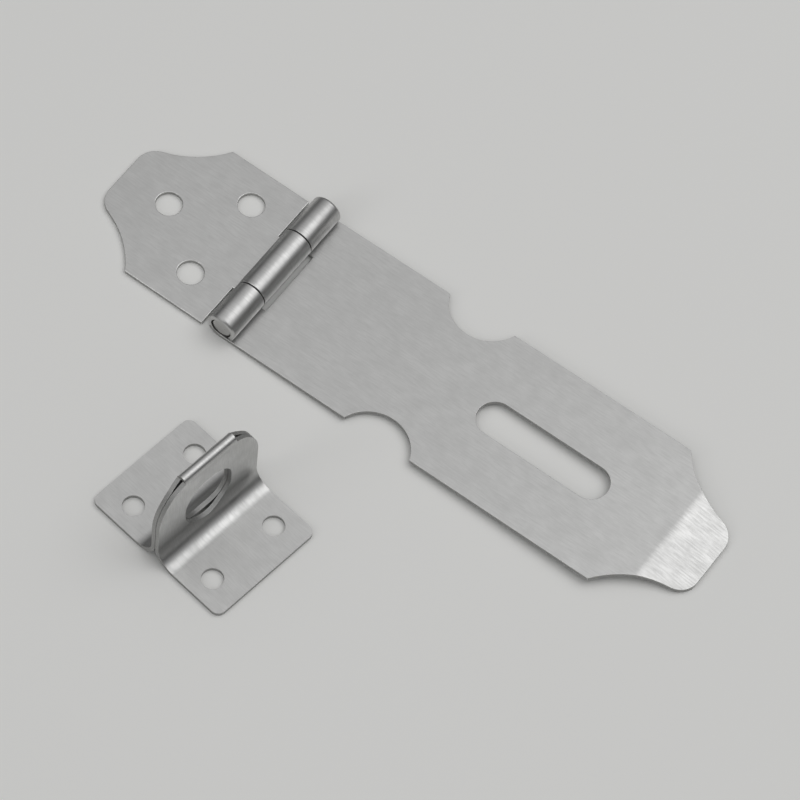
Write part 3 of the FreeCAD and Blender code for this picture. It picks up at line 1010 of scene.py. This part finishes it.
class HASP_OT_staple(bpy.types.Operator):
    """Make the staple, one strip folded double"""

    bl_idname = "hasp.staple"
    bl_label = "Staple"

    def execute(self, context):
        settings = context.scene.hasp
        staple = settings.staple
        strip = self.make_strip(settings.sheet, staple)
        piece = fold("staple_sheet", strip, staple.fin_length)
        radius = staple.eye_width / 2
        half_eye = staple.eye_height / 2 - radius
        eye = slot_blade(
            (0, staple.eye_centre - half_eye), (0, staple.eye_centre + half_eye), radius, facing="X"
        )
        half_across, half_along = staple.screws_across / 2, staple.screws_along / 2
        screws = [(half_across * i, half_along * j) for i in (-1, 1) for j in (-1, 1)]
        cut_away(piece, self.shoulder_blades(staple))
        cut_away(piece, [eye])
        cut_away(piece, [punch(x, y, staple.screw_hole) for x, y in screws])
        self.round_base(piece, staple)
        dress_sheet(piece, strip, 1, settings)
        place = Matrix.Translation((staple.across, staple.beside, 0))
        piece.data.transform(place @ Matrix.Rotation(staple.turn, 4, "Z"))
        settle(piece, "staple", "staple")
        return {"FINISHED"}

    def make_strip(self, sheet, staple):
        """The staple's strip: along the base, up one layer, over the fold, down the other layer and
        out along the base again."""
        half_gap = staple.layer_gap / 2
        toe = half_gap + sheet.gauge + staple.bend
        spring = sheet.gauge + staple.bend
        inner = staple.fold_radius - sheet.gauge
        crest = staple.height - staple.fold_radius
        upright = crest - staple.fold_flare - spring
        quarter = math.pi / 2
        strip = Strip(sheet.gauge, (-staple.width / 2, 0))
        strip.run((staple.width / 2 - toe, 0))
        strip.bend((-toe, spring), quarter)
        strip.run((0, upright))
        strip.run((half_gap - inner, staple.fold_flare))
        strip.bend((0, crest), -2 * quarter)
        strip.run((half_gap - inner, -staple.fold_flare))
        strip.run((0, -upright))
        strip.bend((toe, spring), quarter)
        strip.run((staple.width / 2 - toe, 0))
        return strip

    def shoulder_blades(self, staple):
        """The two cutters that round the fin's shoulders, from the base up to the fold."""
        half_length, half_fold = staple.fin_length / 2, staple.fold_length / 2
        crown = staple.crown_height
        above = staple.height + OVERCUT
        swept = math.acos(half_fold / half_length)
        cutters = []
        for hand in (1, -1):
            moves = [
                (0, crown, swept * hand),
                (half_fold * hand, above),
                ((half_length + OVERCUT) * hand, above),
                ((half_length + OVERCUT) * hand, crown),
                (half_length * hand, crown),
            ]
            cutters.append(blade((half_length * hand, crown), moves, facing="X"))
        return cutters

    def round_base(self, piece, staple):
        """Round the base's four upright corners."""
        def is_corner(one, other):
            return (
                (one.xy - other.xy).length < WELD
                and math.isclose(abs(one.x), staple.width / 2, abs_tol=WELD)
                and math.isclose(abs(one.y), staple.fin_length / 2, abs_tol=WELD)
            )

        round_edges(piece, is_corner, staple.corner, CORNER_SEGMENTS)


# ---------------------------------------------------------------- the stage


class HASP_OT_stage(bpy.types.Operator):
    """Make the pale floor, the soft light and the camera"""

    bl_idname = "hasp.stage"
    bl_label = "Stage"

    def execute(self, context):
        stage = context.scene.hasp.stage
        self.make_floor(stage)
        self.make_lights(stage)
        self.make_camera(context, stage)
        context.scene.view_settings.view_transform = "Standard"
        return {"FINISHED"}

    def make_floor(self, stage):
        deselect_all()
        bpy.ops.mesh.primitive_plane_add(size=stage.floor_size, location=(0, 0, -FLOOR_DROP))
        floor = bpy.context.object
        floor.name = "floor"
        material, tree = start_material("matt_paper")
        if tree is not None:
            place = add_node(tree, "ShaderNodeTexCoord").outputs["Object"]
            fibre = add_node(tree, "ShaderNodeTexNoise", {"Vector": place, "Scale": 1 / stage.floor_fibre})
            rough = add_node(
                tree, "ShaderNodeMapRange", {"Value": fibre.outputs["Fac"], "To Min": 0.6, "To Max": 0.75}
            )
            shader = add_node(
                tree,
                "ShaderNodeBsdfPrincipled",
                {"Base Color": opaque(stage.floor), "Roughness": rough.outputs[0]},
            )
            finish_material(tree, shader)
        floor.data.materials.append(material)

    def make_lights(self, stage):
        """A large soft light high up beyond the nose, a weaker one opposite, and a room that is
        bright above and dim towards the horizon."""
        aim = Vector(stage.aim)
        for name, power, size, place in (
            ("key", stage.key_power, stage.key_size, Vector(stage.key_place)),
            ("fill", stage.fill_power, stage.fill_size, Vector(stage.fill_place)),
        ):
            deselect_all()
            bpy.ops.object.light_add(type="AREA", location=aim + place)
            light = bpy.context.object
            light.name = name
            light.data.shape = "DISK"
            light.data.size = size
            light.data.energy = power
            light.rotation_euler = place.to_track_quat("Z", "Y").to_euler()
        world = bpy.data.worlds.new("room")
        bpy.context.scene.world = world
        world.use_nodes = True
        tree = world.node_tree
        tree.nodes.clear()
        direction = add_node(tree, "ShaderNodeTexCoord").outputs["Generated"]
        height = add_node(tree, "ShaderNodeSeparateXYZ", {0: direction}).outputs["Z"]
        sky = add_node(
            tree,
            "ShaderNodeMapRange",
            {
                "Value": height,
                "From Min": stage.dim_below,
                "From Max": stage.bright_above,
                "To Min": stage.dim_glow,
                "To Max": stage.bright_glow,
            },
        )
        glow = add_node(
            tree, "ShaderNodeBackground", {"Color": sky.outputs[0], "Strength": stage.room_light}
        )
        add_node(tree, "ShaderNodeOutputWorld", {"Surface": glow.outputs[0]})

    def make_camera(self, context, stage):
        azimuth, elevation, roll = stage.azimuth, stage.elevation, stage.roll
        level = math.cos(elevation)
        back = Vector((math.sin(azimuth) * level, -math.cos(azimuth) * level, math.sin(elevation)))
        right = Vector((math.cos(azimuth), math.sin(azimuth), 0))
        up = back.cross(right)
        leant_right = right * math.cos(roll) - up * math.sin(roll)
        leant_up = right * math.sin(roll) + up * math.cos(roll)
        deselect_all()
        bpy.ops.object.camera_add(location=Vector(stage.aim) + back * stage.distance)
        camera = bpy.context.object
        camera.rotation_euler = Matrix((leant_right, leant_up, back)).transposed().to_euler()
        camera.data.lens = stage.focal_length
        camera.data.sensor_width = FILM_WIDTH
        camera.data.clip_start = NEAREST_SEEN
        context.scene.camera = camera


class HASP_PT_panel(bpy.types.Panel):
    """The hasp's sizes, finishes and operators"""

    bl_label = "Hasp and Staple"
    bl_idname = "HASP_PT_panel"
    bl_space_type = "VIEW_3D"
    bl_region_type = "UI"
    bl_category = "Hasp"

    def draw(self, context):
        settings = context.scene.hasp
        groups = [
            ("Sheet", settings.sheet, None),
            ("Fixed Leaf", settings.leaf, "hasp.fixed_leaf"),
            ("Strap", settings.strap, "hasp.strap"),
            ("Hinge Pin", settings.pin, "hasp.pin"),
            ("Staple", settings.staple, "hasp.staple"),
            ("Finish", settings.finish, None),
            ("Stage", settings.stage, "hasp.stage"),
        ]
        for title, group, operator in groups:
            box = self.layout.box()
            box.label(text=title)
            for name in group.bl_rna.properties.keys():
                if name not in ("rna_type", "name"):
                    box.prop(group, name)
            if operator:
                box.operator(operator)


CLASSES = (
    SheetSizes,
    LeafSizes,
    StrapSizes,
    PinSizes,
    StapleSizes,
    FinishSettings,
    StageSettings,
    HaspSettings,
    HASP_OT_fixed_leaf,
    HASP_OT_strap,
    HASP_OT_pin,
    HASP_OT_staple,
    HASP_OT_stage,
    HASP_PT_panel,
)


def register():
    for cls in CLASSES:
        bpy.utils.register_class(cls)
    bpy.types.Scene.hasp = bpy.props.PointerProperty(type=HaspSettings)


def unregister():
    del bpy.types.Scene.hasp
    for cls in reversed(CLASSES):
        bpy.utils.unregister_class(cls)


def main():
    register()
    bpy.ops.hasp.stage()
    bpy.ops.hasp.fixed_leaf()
    bpy.ops.hasp.strap()
    bpy.ops.hasp.pin()
    bpy.ops.hasp.staple()


if __name__ == "__main__":
    main()
